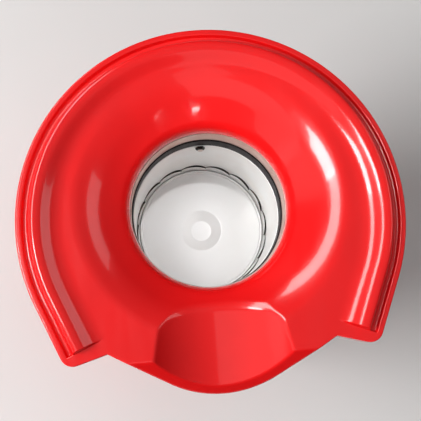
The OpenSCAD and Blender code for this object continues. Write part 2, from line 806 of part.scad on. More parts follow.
top_shell();
body_shell();
base_plate();
foot_front_right();
foot_front_left();
foot_rear_left();
foot_rear_right();
base_screws();
housing_screws();
chamber_collar();
insulating_ring();
chamber_wall();
chamber_floor();
retaining_clip();
clip_screw();
chamber_screws();
heat_shroud();
shroud_screws();
thermostat();
thermal_fuse();
heater_frame();
heater_coil();
motor_plate();
motor_can();
motor_magnets();
motor_end_cap();
upper_bush();
lower_bush();
motor_screws();
armature();
motor_shaft();
impeller();
rectifier_board();
wiring();
cord_gland();
switch_bezel();
switch_terminals();
switch_rocker();
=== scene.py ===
import json
import math

import bpy
import numpy as np
from mathutils import Matrix, Vector
from mathutils.geometry import delaunay_2d_cdt


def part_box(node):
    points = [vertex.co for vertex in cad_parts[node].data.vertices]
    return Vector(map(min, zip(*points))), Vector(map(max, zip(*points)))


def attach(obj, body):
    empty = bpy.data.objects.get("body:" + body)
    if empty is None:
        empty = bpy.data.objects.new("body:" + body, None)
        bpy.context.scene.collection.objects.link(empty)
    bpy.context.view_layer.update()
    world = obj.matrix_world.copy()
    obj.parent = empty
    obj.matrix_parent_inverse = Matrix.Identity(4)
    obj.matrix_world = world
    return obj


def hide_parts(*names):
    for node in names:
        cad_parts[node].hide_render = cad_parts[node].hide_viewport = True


# A hot-air popcorn popper seen from above. The glossy red tray, the collar and insulating ring
# under it, the louvred aluminium chamber and the clip are remade as fine meshes. Every other CAD
# node keeps its shape and gets a finish.
# Lengths are millimetres until mesh_object() turns them into metres.

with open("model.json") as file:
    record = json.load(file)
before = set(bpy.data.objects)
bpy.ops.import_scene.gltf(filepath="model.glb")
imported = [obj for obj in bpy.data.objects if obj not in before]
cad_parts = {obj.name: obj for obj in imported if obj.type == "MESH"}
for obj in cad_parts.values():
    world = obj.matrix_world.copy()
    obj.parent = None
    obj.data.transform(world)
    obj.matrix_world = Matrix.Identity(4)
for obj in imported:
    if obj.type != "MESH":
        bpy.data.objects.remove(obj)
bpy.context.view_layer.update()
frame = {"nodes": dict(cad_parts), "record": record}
NODES = frame["nodes"]
MM = 0.001

# ---------- sizes ----------

# Tray
RAIL_H = 5.5
FLAT_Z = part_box("top_shell")[1].z / MM - RAIL_H
RIM_R, RIM_Y = 119.0, -6.0
SIDE_TAPER = math.radians(22.2)
CORNER_R = 8.0
NOTCH = np.array([69.0, -83.0])
NOTCH_RISE = math.radians(16)
FLANK_SLOPE = math.radians(30.5)
NOSE_R = 66.0
RAIL_RUN = 36.5
TRAY_T = 2.5
SKIRT_H, NOSE_SKIRT_H = 14.0, 30.0
EDGE_R = 0.9
BELL_TOP_R, NECK_R, BELL_H = 86.4, 50.0, 24.0
NECK_Z = FLAT_Z - BELL_H
EDGE_BEND_R, EDGE_BEND_SLOPE = 18.0, math.radians(17.5)
BELL_HIGH_R, BELL_SLOPE = 70.0, math.radians(31)
FOLD_Y, FACET_SLOPE = -89.7, math.radians(43)
SCOOP_R, SCOOP_SLOPE = 71.0, math.radians(8.4)
SCOOP_Y, SCOOP_DROP = -58.3, 9.5
FOLD_BLEND, FLAT_BLEND = 0.7, 0.8       # how wide the scoop's edges are rounded
CREST_BLEND, CREST_R, CREST_W = 1.6, 77.0, 8.0  # and how much wider near the bell
RAIL_FADE = 1.3                         # length over which the rail's ends come down
NECK_LIP = 1.2                          # thickness of the neck's edge over the collar

# Popping chamber
AXIS_Y = (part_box("chamber_floor")[0].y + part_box("chamber_floor")[1].y) / 2 / MM
COLLAR_Z0, COLLAR_Z1 = (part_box("chamber_collar")[i].z / MM for i in (0, 1))
RING_Z0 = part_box("insulating_ring")[0].z / MM
WALL_R, WALL_T = 48.3, 0.8
FLOOR_R = 46.0
FLOOR_Z = NECK_Z - 85.0
LOUVRES = 16
LOUVRE_START = math.radians(81.5)
ARCH_FOOT, ARCH_H, ARCH_SHAPE = 0.6, 7.4, 0.55  # the wall's arch over each louvre
VANE_FOOT, VANE_H, VANE_SHAPE = 0.8, 5.0, 0.6   # the louvre's own upper edge
VANE_LEAN, VANE_LEAN_GAIN = 0.75, 1.15          # its lean at the fixed end, and what the free end adds
VANE_T = 0.45
FLANGE_W = 5.0

RIM_C = np.array([0.0, RIM_Y])
AXIS = np.array([0.0, AXIS_Y])

# ---------- camera ----------

camera_data = bpy.data.cameras.new("camera")
camera = bpy.data.objects.new("camera", camera_data)
bpy.context.scene.collection.objects.link(camera)
bpy.context.scene.camera = camera
camera_data.lens = 62.9
camera_data.shift_x, camera_data.shift_y = 0.05, 0.15
camera.matrix_world = (
    Matrix.Translation((-0.0371, -0.0818, 0.6534))
    @ Matrix.Rotation(math.radians(-25.35), 4, "Z")
    @ Matrix.Rotation(math.radians(6.19), 4, "X")
    @ Matrix.Rotation(math.radians(20.76), 4, "Z")
)

# ---------- materials ----------

WAVE_SCALE = 314.0  # scale of a wave texture with one ring each millimetre


class Finish:
    """A procedural material: colour, roughness and bump from noise in the object's own metres."""

    def __init__(self, name, metallic=0.0, coat=0.0, coat_rough=0.05, specular=0.5):
        self.material = bpy.data.materials.new(name)
        self.material.use_nodes = True
        self.tree = self.material.node_tree
        self.shader = self.tree.nodes["Principled BSDF"]
        self.shader.inputs["Metallic"].default_value = metallic
        self.shader.inputs["Coat Weight"].default_value = coat
        self.shader.inputs["Coat Roughness"].default_value = coat_rough
        self.shader.inputs["Specular IOR Level"].default_value = specular
        self.coords = self.node("TexCoord").outputs["Object"]
        self.bump_out = None

    def node(self, kind, **settings):
        n = self.tree.nodes.new("ShaderNode" + kind)
        for key, value in settings.items():
            setattr(n, key, value)
        return n

    def link(self, a, b):
        self.tree.links.new(a, b)

    def stretched(self, scale=(1, 1, 1), shift=(0, 0, 0)):
        m = self.node("Mapping")
        m.inputs["Scale"].default_value = scale
        m.inputs["Location"].default_value = shift
        self.link(self.coords, m.inputs["Vector"])
        return m.outputs["Vector"]

    def noise(self, size_mm, detail=3.0, rough=0.5, coords=None):
        n = self.node("TexNoise")
        n.inputs["Scale"].default_value = 1000.0 / size_mm
        n.inputs["Detail"].default_value = detail
        n.inputs["Roughness"].default_value = rough
        self.link(coords or self.coords, n.inputs["Vector"])
        return n.outputs["Fac"]

    def cells(self, size_mm):
        n = self.node("TexVoronoi")
        n.inputs["Scale"].default_value = 1000.0 / size_mm
        self.link(self.coords, n.inputs["Vector"])
        return n.outputs["Distance"]

    def rings(self, pitch_mm):
        """Fine turning marks round the chamber's axis."""
        n = self.node("TexWave", wave_type="RINGS", rings_direction="Z")
        n.inputs["Scale"].default_value = WAVE_SCALE / pitch_mm
        n.inputs["Distortion"].default_value = 2.0
        n.inputs["Detail"].default_value = 3.0
        n.inputs["Detail Scale"].default_value = 1.5
        self.link(self.stretched(shift=(0, -AXIS_Y * MM, 0)), n.inputs["Vector"])
        return n.outputs["Fac"]

    def spread(self, value, low, high, at=(0.3, 0.7)):
        m = self.node("MapRange")
        m.inputs["From Min"].default_value, m.inputs["From Max"].default_value = at
        m.inputs["To Min"].default_value, m.inputs["To Max"].default_value = low, high
        self.link(value, m.inputs["Value"])
        return m.outputs["Result"]

    def mix(self, factor, a, b):
        m = self.node("Mix", data_type="RGBA")
        self.link(factor, m.inputs["Factor"])
        for socket, value in ((m.inputs["A"], a), (m.inputs["B"], b)):
            if isinstance(value, tuple):
                socket.default_value = (*value, 1.0)
            else:
                self.link(value, socket)
        return m.outputs["Result"]

    def colour(self, out):
        self.link(out, self.shader.inputs["Base Color"])
        return self

    def rough(self, value, low, high, at=(0.3, 0.7)):
        self.link(self.spread(value, low, high, at), self.shader.inputs["Roughness"])
        return self

    def bump(self, value, height_mm):
        b = self.node("Bump")
        b.inputs["Distance"].default_value = height_mm * MM
        b.inputs["Strength"].default_value = 1.0
        self.link(value, b.inputs["Height"])
        if self.bump_out is not None:
            self.link(self.bump_out, b.inputs["Normal"])
        self.bump_out = b.outputs["Normal"]
        self.link(self.bump_out, self.shader.inputs["Normal"])
        return self


def shade(colour, factor):
    return tuple(min(1.0, c * factor) for c in colour)


def gloss_plastic(name, colour, low=0.14, high=0.2):
    f = Finish(name, coat=0.45, coat_rough=0.035, specular=0.3)
    f.colour(f.mix(f.spread(f.noise(35), 0, 1), shade(colour, 0.96), shade(colour, 1.03)))
    dust = f.spread(f.cells(2.2), 1, 0, at=(0.02, 0.07))
    wipe = f.noise(6, detail=5, coords=f.stretched((1, 0.15, 1)))
    f.rough(wipe, low, high)
    f.bump(f.noise(7, detail=1), 0.012)
    f.bump(dust, 0.01)
    return f.material


def moulded_plastic(name, colour, grain_mm=0.7, low=0.42, high=0.6, height_mm=0.05):
    f = Finish(name, specular=0.4)
    f.colour(f.mix(f.spread(f.noise(20), 0, 1), shade(colour, 0.85), shade(colour, 1.15)))
    f.rough(f.noise(9, detail=4), low, high)
    f.bump(f.noise(grain_mm, detail=2), height_mm)
    return f.material


def drawn_aluminium(name, colour, tint, low=0.3, high=0.42, pitch_mm=0.9, metallic=0.55):
    f = Finish(name, metallic=metallic, specular=0.5)
    marks = f.rings(pitch_mm)
    stain = f.spread(f.noise(38, detail=4, rough=0.6), 0, 1, at=(0.42, 0.72))
    f.colour(f.mix(stain, colour, tint))
    f.rough(f.noise(14, detail=5), low, high)
    f.bump(marks, 0.006)
    f.bump(f.noise(0.5, detail=2), 0.012)
    return f.material


def sheet_steel(name, colour, spangle_mm=7.0, low=0.28, high=0.42):
    f = Finish(name, metallic=1.0)
    cells = f.spread(f.cells(spangle_mm), 0, 1, at=(0.1, 0.6))
    f.colour(f.mix(cells, shade(colour, 0.82), shade(colour, 1.08)))
    f.rough(f.noise(5, detail=4), low, high)
    f.bump(f.noise(0.8, detail=3), 0.015)
    return f.material


def plated(name, colour, low=0.16, high=0.32):
    f = Finish(name, metallic=1.0)
    f.colour(f.mix(f.spread(f.noise(3), 0, 1), shade(colour, 0.88), shade(colour, 1.05)))
    f.rough(f.noise(1.4, detail=4), low, high)
    f.bump(f.noise(0.35, detail=2), 0.008)
    return f.material


def soft_rubber(name, colour):
    f = Finish(name, specular=0.3)
    f.colour(f.mix(f.spread(f.noise(4, detail=5), 0, 1), shade(colour, 0.75), shade(colour, 1.35)))
    f.rough(f.noise(2, detail=4), 0.68, 0.85)
    f.bump(f.noise(0.45, detail=3), 0.04)
    return f.material


def flaky_sheet(name, colour):
    f = Finish(name, coat=0.15, coat_rough=0.2)
    flakes = f.spread(f.cells(3.5), 0, 1, at=(0.1, 0.7))
    f.colour(f.mix(flakes, shade(colour, 0.7), shade(colour, 1.15)))
    f.rough(f.noise(4, detail=4), 0.35, 0.55)
    f.bump(f.cells(3.5), 0.03)
    return f.material


def woven_sleeve(name, colour):
    f = Finish(name, specular=0.3)
    weave = f.node("TexWave", wave_type="BANDS", bands_direction="DIAGONAL")
    weave.inputs["Scale"].default_value = 420.0
    weave.inputs["Distortion"].default_value = 1.0
    f.link(f.coords, weave.inputs["Vector"])
    f.colour(f.mix(weave.outputs["Fac"], shade(colour, 0.7), shade(colour, 1.1)))
    f.rough(f.noise(1.5), 0.6, 0.8)
    f.bump(weave.outputs["Fac"], 0.08)
    return f.material


def speckled_moulding(name, colour, fleck, specular=0.45):
    f = Finish(name, specular=specular)
    flecks = f.spread(f.noise(0.9, detail=4, rough=0.7), 0, 1, at=(0.58, 0.75))
    f.colour(f.mix(flecks, colour, fleck))
    f.rough(f.noise(5, detail=4), 0.38, 0.55)
    f.bump(f.noise(0.5, detail=3), 0.03)
    return f.material


RED = (0.83, 0.006, 0.007)
FINISHES = {
    "red_plastic": gloss_plastic("red_plastic", RED),
    "dark_plastic": moulded_plastic("dark_plastic", (0.022, 0.022, 0.025)),
    "phenolic": speckled_moulding("phenolic", (0.012, 0.009, 0.01), (0.03, 0.022, 0.022),
                                  specular=0.12),
    "rubber": soft_rubber("rubber", (0.03, 0.03, 0.031)),
    "aluminium": drawn_aluminium("aluminium", (0.8, 0.8, 0.8), (0.78, 0.78, 0.77),
                                 low=0.4, high=0.5, metallic=0.3),
    "steel": sheet_steel("steel", (0.62, 0.63, 0.64)),
    "screw_steel": plated("screw_steel", (0.72, 0.72, 0.72)),
    "mica": flaky_sheet("mica", (0.55, 0.46, 0.32)),
    "heater_wire": plated("heater_wire", (0.35, 0.31, 0.28), 0.35, 0.55),
    "brass": plated("brass", (0.78, 0.57, 0.26)),
    "magnet": speckled_moulding("magnet", (0.06, 0.06, 0.065), (0.12, 0.12, 0.12)),
    "armature_wire": plated("armature_wire", (0.5, 0.25, 0.12), 0.25, 0.4),
    "fan_plastic": moulded_plastic("fan_plastic", (0.75, 0.73, 0.66), 1.2, 0.35, 0.5, 0.03),
    "circuit_board": speckled_moulding("circuit_board", (0.05, 0.2, 0.08), (0.09, 0.3, 0.14)),
    "wire_sleeve": woven_sleeve("wire_sleeve", (0.75, 0.73, 0.68)),
    "ceramic": moulded_plastic("ceramic", (0.82, 0.8, 0.75), 1.5, 0.2, 0.35, 0.02),
}
WALL_METAL = drawn_aluminium("wall_aluminium", (0.93, 0.94, 0.93), (0.9, 0.88, 0.85),
                             low=0.45, high=0.55, metallic=0.6)
# The collar's aluminium is coloured red-brown and darker than bare metal: a painted reflection of the
# red tray around it, over the metal's random stain.
COLLAR_PAINTED_RED_REFLECTION = drawn_aluminium("collar_aluminium_painted_red_reflection", (0.66, 0.46, 0.4), (0.6, 0.4, 0.34),
                               low=0.35, high=0.5, pitch_mm=1.5, metallic=0.8)
# Nearly black steel for the heat shroud and motor plate: painted shade, so the space behind the louvre
# slits stays dark.
PAINTED_SHADE_STEEL = plated("painted_shade_steel", (0.09, 0.07, 0.06), 0.45, 0.65)
DULL_ZINC = drawn_aluminium("dull_zinc", (0.75, 0.68, 0.62), (0.65, 0.56, 0.5),
                            low=0.4, high=0.5, pitch_mm=0.6, metallic=0.3)
CLIP_BLACK = plated("clip_black", (0.03, 0.026, 0.024), 0.3, 0.5)

for row in frame["record"]["subparts"]:
    slots = NODES[row["node"]].data.materials
    for i in range(len(slots)):
        slots[i] = FINISHES[row["material_slot"]]

# Painted shade on the heat shroud and motor plate
for name in ("heat_shroud", "motor_plate"):
    NODES[name].data.materials[0] = PAINTED_SHADE_STEEL
NODES["clip_screw"].data.materials[0] = DULL_ZINC

# ---------- mesh helpers ----------


def mesh_object(name, points, faces, material, replaces, body="housing", sharp=40):
    """A smooth-shaded piece from millimetre points; edges steeper than sharp degrees stay crisp."""
    mesh = bpy.data.meshes.new(name)
    mesh.from_pydata((np.asarray(points) * MM).tolist(), [], faces)
    mesh.validate()
    mesh.materials.append(material)
    mesh.shade_smooth()
    mesh.set_sharp_from_angle(angle=math.radians(sharp))
    piece = bpy.data.objects.new(name, mesh)
    bpy.context.scene.collection.objects.link(piece)
    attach(piece, body)
    if replaces:
        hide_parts(*replaces)


def ring_faces(rings, n):
    """Quads between rings of n points each; the last ring joins the first."""
    faces = []
    for k in range(rings):
        a, b = k * n, ((k + 1) % rings) * n
        faces += [(a + i, a + (i + 1) % n, b + (i + 1) % n, b + i) for i in range(n)]
    return faces


def lathe(profile, n=192):
    """Points and faces of a closed section (radius, height) turned round the chamber's axis."""
    t = np.linspace(0, 2 * math.pi, n, endpoint=False)
    rings = [np.stack([AXIS[0] + r * np.cos(t), AXIS[1] + r * np.sin(t),
                       np.full(n, float(z))], 1) for r, z in profile]
    return np.concatenate(rings), ring_faces(len(profile), n)


def arc_section(c, r, a0, a1, steps):
    """Points (radius, height) on a round corner of a section, angles in degrees."""
    return [(c[0] + r * math.cos(math.radians(a0 + (a1 - a0) * i / steps)),
             c[1] + r * math.sin(math.radians(a0 + (a1 - a0) * i / steps)))
            for i in range(steps + 1)]


def smooth_min(a, b, k):
    """The lower of two heights, rounded over where they are within k of each other."""
    h = np.maximum(k - np.abs(a - b), 0) / k
    return np.minimum(a, b) - h * h * k / 4


def ease(t):
    t = np.clip(t, 0, 1)
    return t * t * (3 - 2 * t)


# ---------- tray ----------

SIDE_U = np.array([-math.sin(SIDE_TAPER), -math.cos(SIDE_TAPER)])
SIDE_N = np.array([-math.cos(SIDE_TAPER), math.sin(SIDE_TAPER)])
RISE_U = np.array([-math.cos(NOTCH_RISE), math.sin(NOTCH_RISE)])
RISE_N = np.array([math.sin(NOTCH_RISE), math.cos(NOTCH_RISE)])
FLANK_U = np.array([-math.cos(FLANK_SLOPE), -math.sin(FLANK_SLOPE)])
FLANK_N = np.array([-math.sin(FLANK_SLOPE), math.cos(FLANK_SLOPE)])
TANGENT = RIM_C + RIM_R * np.array([math.cos(SIDE_TAPER), -math.sin(SIDE_TAPER)])
NOSE_C = np.array([0, (NOSE_R - NOTCH[0] * math.sin(FLANK_SLOPE)) / math.cos(FLANK_SLOPE)
                   + NOTCH[1]])


def meet(p, u, q, v):
    """Where the line through p along u meets the line through q along v."""
    w = q - p
    return p + u * (w[0] * v[1] - w[1] * v[0]) / (u[0] * v[1] - u[1] * v[0])


CORNER_C = meet(TANGENT + SIDE_N * CORNER_R, SIDE_U, NOTCH + RISE_N * CORNER_R, RISE_U)


def arc(c, r, a0, a1, n):
    t = np.linspace(a0, a1, n)
    return np.stack([c[0] + r * np.cos(t), c[1] + r * np.sin(t)], 1)


def line(p, q, n):
    return p + (q - p) * np.linspace(0, 1, n)[:, None]


def right_outline(d):
    """The right half of the tray's outline, inset by d, from the rear to the nose's tip."""
    parts = [
        arc(RIM_C, RIM_R - d, math.pi / 2, -SIDE_TAPER, 150),
        line(TANGENT + SIDE_N * d, CORNER_C - SIDE_N * (CORNER_R - d), 24),
        arc(CORNER_C, CORNER_R - d, -SIDE_TAPER, -math.pi / 2 - NOTCH_RISE, 16),
        line(CORNER_C - RISE_N * (CORNER_R - d),
             meet(NOTCH + RISE_N * d, RISE_U, NOTCH + FLANK_N * d, FLANK_U), 12),
        line(meet(NOTCH + RISE_N * d, RISE_U, NOTCH + FLANK_N * d, FLANK_U),
             NOSE_C - FLANK_N * (NOSE_R - d), 30),
        arc(NOSE_C, NOSE_R - d, FLANK_SLOPE - math.pi / 2, -math.pi / 2, 28),
    ]
    return np.concatenate([parts[0]] + [p[1:] for p in parts[1:]])


def outline(d):
    right = right_outline(d)
    return np.concatenate([right, right[-2:0:-1] * [-1, 1]])


# Section of the lip, groove and rail: inset from the rim's edge and height over the flat. The
# rail is a wide ridge whose slope grows to its steepest, then eases out again over its long foot
LIP_SECTION = [(0, 0), (3.7, 0), (4.5, -2.2), (7.3, -2.2),
               (8.1, 1.8), (8.8, 4.1), (9.6, 5.05), (10.4, 5.4)]
RIDGE_D = np.array([11.3, 17.0, 19.8, 29.5])
RIDGE_SLOPE = np.radians([0, 32, 32, 0])
ridge_d = np.linspace(RIDGE_D[0], RIDGE_D[-1], 60)
ridge_h = -np.cumsum(np.tan(np.interp(ridge_d, RIDGE_D, RIDGE_SLOPE)))
ridge_h = RAIL_H * (ridge_h - ridge_h[-1]) / (ridge_h[0] - ridge_h[-1])
SECTION_END, SECTION_STEP = 60, 0.05
RIM_SECTION = np.array(LIP_SECTION + list(zip(ridge_d, ridge_h)) + [(SECTION_END, 0)])
SECTION_D = np.arange(-3, SECTION_END, SECTION_STEP)
# A bell-shaped weight that rounds the section's corners
ROUNDING = np.exp(-0.5 * (np.arange(-1.2, 1.21, SECTION_STEP) / 0.32) ** 2)
SECTION_H = np.convolve(np.interp(SECTION_D, RIM_SECTION[:, 0], RIM_SECTION[:, 1]),
                        ROUNDING / ROUNDING.sum(), mode="same")


def slope_normal(a):
    return np.stack([-np.sin(a), np.cos(a)], -1)


def bell_section():
    """Points (radius, height) of the bell, from the flat down to the neck."""
    edge_c = np.array([BELL_TOP_R, FLAT_Z - EDGE_BEND_R])
    high_c = edge_c - (BELL_HIGH_R - EDGE_BEND_R) * slope_normal(EDGE_BEND_SLOPE)
    cone_top = high_c + BELL_HIGH_R * slope_normal(BELL_SLOPE)
    rise = math.tan(BELL_SLOPE)
    low_r = ((cone_top[1] - NECK_Z - (cone_top[0] - NECK_R) * rise)
             / (math.cos(BELL_SLOPE) - (1 - math.sin(BELL_SLOPE)) * rise))
    low_c = np.array([NECK_R + low_r, NECK_Z])
    low_top = low_c + low_r * slope_normal(BELL_SLOPE)
    return np.concatenate([
        edge_c + EDGE_BEND_R * slope_normal(np.linspace(0, EDGE_BEND_SLOPE, 12)),
        high_c + BELL_HIGH_R * slope_normal(np.linspace(EDGE_BEND_SLOPE, BELL_SLOPE, 16)[1:]),
        line(cone_top, low_top, 7)[1:],
        low_c + low_r * slope_normal(np.linspace(BELL_SLOPE, math.pi / 2, 18)[1:]),
    ])


BELL = bell_section()


def rim_height(x, y):
    """Height of lip, groove and rail over the flat."""
    p = np.stack([np.abs(x), y], -1)
    run = (p - TANGENT) @ SIDE_U
    inset = np.where((p - RIM_C) @ SIDE_U > 0, (p - TANGENT) @ SIDE_N,
                     RIM_R - np.hypot(p[..., 0], p[..., 1] - RIM_Y))
    fade = 1 - ease((run - RAIL_RUN + RAIL_FADE) / RAIL_FADE)
    return fade * np.interp(inset, SECTION_D, SECTION_H, right=0)


def tray_top(x, y, inset=None):
    """Height of the tray's upper surface; inset is the distance to the outline, where it matters."""
    r = np.hypot(x, y - AXIS_Y)
    base = np.interp(r, BELL[::-1, 0], BELL[::-1, 1]) + rim_height(x, y)
    trough = SCOOP_R - np.sqrt(np.maximum(SCOOP_R ** 2 - x * x, 0))
    scoop = (FLAT_Z - SCOOP_DROP + trough / math.cos(SCOOP_SLOPE)
             + (y - SCOOP_Y) * math.tan(SCOOP_SLOPE))
    facet = FLAT_Z + (y - FOLD_Y) * math.tan(FACET_SLOPE)
    blend = FLAT_BLEND + CREST_BLEND * ease((CREST_R - r) / CREST_W)
    z = smooth_min(base, smooth_min(scoop, facet, FOLD_BLEND), blend)
    if inset is not None:
        z = z - EDGE_R + np.sqrt(np.maximum(EDGE_R ** 2 - np.maximum(EDGE_R - inset, 0) ** 2, 0))
    return z


def skirt_bottom(x, y):
    depth = np.where((np.abs(x) < NOTCH[0]) & (y < NOTCH[1]), NOTCH[1] - y, 0)
    tip = NOTCH[1] - NOSE_C[1] + NOSE_R
    return FLAT_Z - SKIRT_H - (NOSE_SKIRT_H - SKIRT_H) * depth / tip


def inside(points, loop):
    """Which points lie inside a closed loop."""
    hit = np.zeros(len(points), bool)
    for a, b in zip(loop, np.roll(loop, -1, 0)):
        crosses = (a[1] > points[:, 1]) != (b[1] > points[:, 1])
        if a[1] != b[1]:
            at = a[0] + (points[:, 1] - a[1]) * (b[0] - a[0]) / (b[1] - a[1])
            hit ^= crosses & (points[:, 0] < at)
    return hit


# The tray's mesh is laid out as seen from above. Outlines and circles keep their edges, and loose
# points follow the rim's section, the bell and the front.
CIRCLE_N = 256
CHORD = math.cos(math.pi / CIRCLE_N)    # a circle's straight edges come in this far
UNDER_R = NECK_R + TRAY_T + 2
BORDERS = [0, 0.08, 0.22, 0.42, 0.65, EDGE_R, 1.2, TRAY_T]
NO_INSET = 99.0
RIM_LINES = [3.1, 3.5, 3.8, 4.1, 4.4, 4.8, 5.4, 6.2, 6.9, 7.3, 7.7, 8.1, 8.5, 8.9, 9.4, 9.9,
             10.5, 11.2, 12, 12.8, 13.6, 14.3, 14.9, 15.5, 16.2, 17.2, 18.4, 19.2, 19.7,
             20.3, 21.2, 22.1, 23, 24, 25.2, 26.6, 28, 29.5]
NECK_RINGS = 4                          # rings up from the neck that keep their edges
FRONT_X, FRONT_TIP, FRONT_REAR = 70, -112.5, -44
FRONT_R = NECK_R + 7
FRONT_STEP, FRONT_GAP = 0.8, 0.5
BELL_GAP = 1.2                          # least distance from a bell point to a rim point


def circle(r):
    turn = np.linspace(0, 2 * math.pi, CIRCLE_N, endpoint=False)
    return AXIS + r * np.stack([np.cos(turn), np.sin(turn)], 1)


def from_axis(points):
    return np.hypot(points[:, 0], points[:, 1] - AXIS_Y)


def in_front(points):
    return (np.abs(points[:, 0]) < FRONT_X + FRONT_GAP) & (points[:, 1] < FRONT_REAR + FRONT_GAP)


def rim_points():
    """Points on lines at fixed insets, with stations along the arc and both sides."""
    run = np.concatenate([np.linspace(0, RAIL_RUN - 1.6, 24)[1:],
                          np.linspace(RAIL_RUN - RAIL_FADE, RAIL_RUN + 0.2, 7)])
    halves = []
    for d in RIM_LINES:
        half = np.concatenate([arc(RIM_C, RIM_R - d, math.pi / 2, -SIDE_TAPER, 150),
                               TANGENT + SIDE_N * d + run[:, None] * SIDE_U])
        halves += [half, half[1:] * [-1, 1]]
    points = np.concatenate(halves)
    points = points[inside(points, outline(TRAY_T + 0.35))]
    return points[~in_front(points) & (from_axis(points) > BELL_TOP_R - 6)]


def front_points():
    """An even grid over the front, where scoop, fold and crest meet."""
    x, y = np.meshgrid(np.arange(-FRONT_X, FRONT_X + 0.1, FRONT_STEP),
                       np.arange(FRONT_TIP, FRONT_REAR, FRONT_STEP))
    grid = np.stack([x.ravel(), y.ravel()], 1)
    return grid[(from_axis(grid) > FRONT_R) & inside(grid, outline(TRAY_T + 0.5))]


def bell_points(rim):
    """Rings down the bell, clear of the front's grid and of the rim's points."""
    points = np.concatenate([circle(r) for r in BELL[::-1, 0][NECK_RINGS:]])
    points = points[~(in_front(points) & (from_axis(points) > FRONT_R))]
    gaps = np.array([np.hypot(*(rim - p).T).min() for p in points])
    return points[gaps > BELL_GAP]


def tray_plan():
    """The tray from above: its points with their insets, the triangles of its top and of its
    underside, and the points of each outline and circle that kept its edges."""
    fixed = [outline(d) for d in BORDERS]
    fixed += [circle(r) for r in BELL[::-1, 0][:NECK_RINGS]] + [circle(UNDER_R)]
    rim = rim_points()
    points = np.concatenate(fixed + [rim, front_points(), bell_points(rim)])
    starts = [int(k) for k in np.cumsum([0] + [len(p) for p in fixed])]
    edges = [(start + i, start + (i + 1) % len(p))
             for start, p in zip(starts, fixed) for i in range(len(p))]
    verts, _, tris, origin, _, _ = delaunay_2d_cdt(
        [Vector(p) for p in points], edges, [], 0, 1e-6)
    xy = np.array([tuple(v) for v in verts])

    inset = np.full(len(points), NO_INSET)
    for start, p, d in zip(starts, fixed, BORDERS):
        inset[start:start + len(p)] = d
    inset = np.array([min((inset[i] for i in o), default=NO_INSET) for o in origin])

    tris = np.array([t for t in tris if len(t) == 3])
    middle = xy[tris].mean(1)
    keep = inside(middle, fixed[0]) & (from_axis(middle) > NECK_R * CHORD)
    tris, middle = tris[keep], middle[keep]
    # Every triangle faces up
    a, b, c = (xy[tris[:, i]] for i in range(3))
    area = (b - a)[:, 0] * (c - a)[:, 1] - (b - a)[:, 1] * (c - a)[:, 0]
    tris = np.where(area[:, None] > 0, tris, tris[:, ::-1])
    below = tris[inside(middle, fixed[len(BORDERS) - 1]) & (from_axis(middle) > UNDER_R * CHORD)]

    vertex_of = {source: i for i, sources in enumerate(origin) for source in sources}
    loops = [[vertex_of[start + i] for i in range(len(p))] for start, p in zip(starts, fixed)]
    return xy, inset, tris, below, loops


def make_tray():
    xy, inset, tris, below, loops = tray_plan()
    edge, lip, neck, neck_under = (loops[k] for k in (0, len(BORDERS) - 1, len(BORDERS), -1))
    top = np.column_stack([xy, tray_top(xy[:, 0], xy[:, 1], inset)])
    under = np.column_stack([xy, tray_top(xy[:, 0], xy[:, 1]) - TRAY_T])
    points = [top, under]

    def add(ids, height, radius=None):
        """A new loop under the loop ids, at a height, or at a radius round the chamber too."""
        start = sum(len(p) for p in points)
        p = top[ids].copy()
        if radius:
            out = p[:, :2] - AXIS
            p[:, :2] = AXIS + out / np.hypot(*out.T)[:, None] * radius
        p[:, 2] = height
        points.append(p)
        return list(range(start, start + len(p)))

    def bridge(a, b):
        n = len(a)
        return [(a[i], b[i], b[(i + 1) % n], a[(i + 1) % n]) for i in range(n)]

    n_top = len(top)
    skirt_z = skirt_bottom(*top[edge][:, :2].T)
    skirt_out, skirt_in = add(edge, skirt_z), add(lip, skirt_z)
    lip_z = NECK_Z - NECK_LIP
    neck_loops = [add(neck, lip_z), add(neck, lip_z, NECK_R + NECK_LIP),
                  add(neck, COLLAR_Z0, NECK_R + NECK_LIP), add(neck, COLLAR_Z0, UNDER_R)]

    faces = [tuple(t) for t in tris.tolist()]
    faces += [tuple(n_top + i for i in t[::-1]) for t in below.tolist()]
    lip_under = [n_top + i for i in lip]
    # The outline runs clockwise and the circles anticlockwise, seen from above
    for a, b in ((skirt_out, edge), (skirt_in, skirt_out), (lip_under, skirt_in)):
        faces += bridge(a, b)
    chain = [neck] + neck_loops + [[n_top + i for i in neck_under]]
    for a, b in zip(chain, chain[1:]):
        faces += bridge(b, a)

    points = np.concatenate(points)
    used = np.unique(np.array([i for f in faces for i in f]))
    renumber = np.full(len(points), -1)
    renumber[used] = np.arange(len(used))
    faces = [tuple(int(renumber[i]) for i in f) for f in faces]
    mesh_object("tray", points[used], faces, FINISHES["red_plastic"],
                ["top_shell"], sharp=50)


make_tray()

# ---------- popping chamber ----------


def make_collar():
    section = (arc_section((NECK_R - 0.1, COLLAR_Z1 - 0.3), 0.3, 180, 0, 6)
               + [(NECK_R + 0.2, COLLAR_Z0), (NECK_R - 0.4, COLLAR_Z0)])
    points, faces = lathe(section)
    mesh_object("collar", points, faces, COLLAR_PAINTED_RED_REFLECTION, ["chamber_collar"])


def make_insulator():
    top, low, r_in, r_out = COLLAR_Z0, RING_Z0, WALL_R + 0.5, 69.0
    section = (arc_section((r_in + 1.0, top - 1.0), 1.0, 180, 90, 5)
               + arc_section((r_out - 1.0, top - 1.0), 1.0, 90, 0, 5)
               + [(r_out, low), (r_in, low)])
    points, faces = lathe(section)
    mesh_object("insulator", points, faces, FINISHES["phenolic"],
                ["insulating_ring"])


def louvre_t(angle):
    """Where an angle lies along its louvre: 0 at the fixed end, 1 at the free end."""
    return ((LOUVRE_START - angle) / (2 * math.pi / LOUVRES)) % 1.0


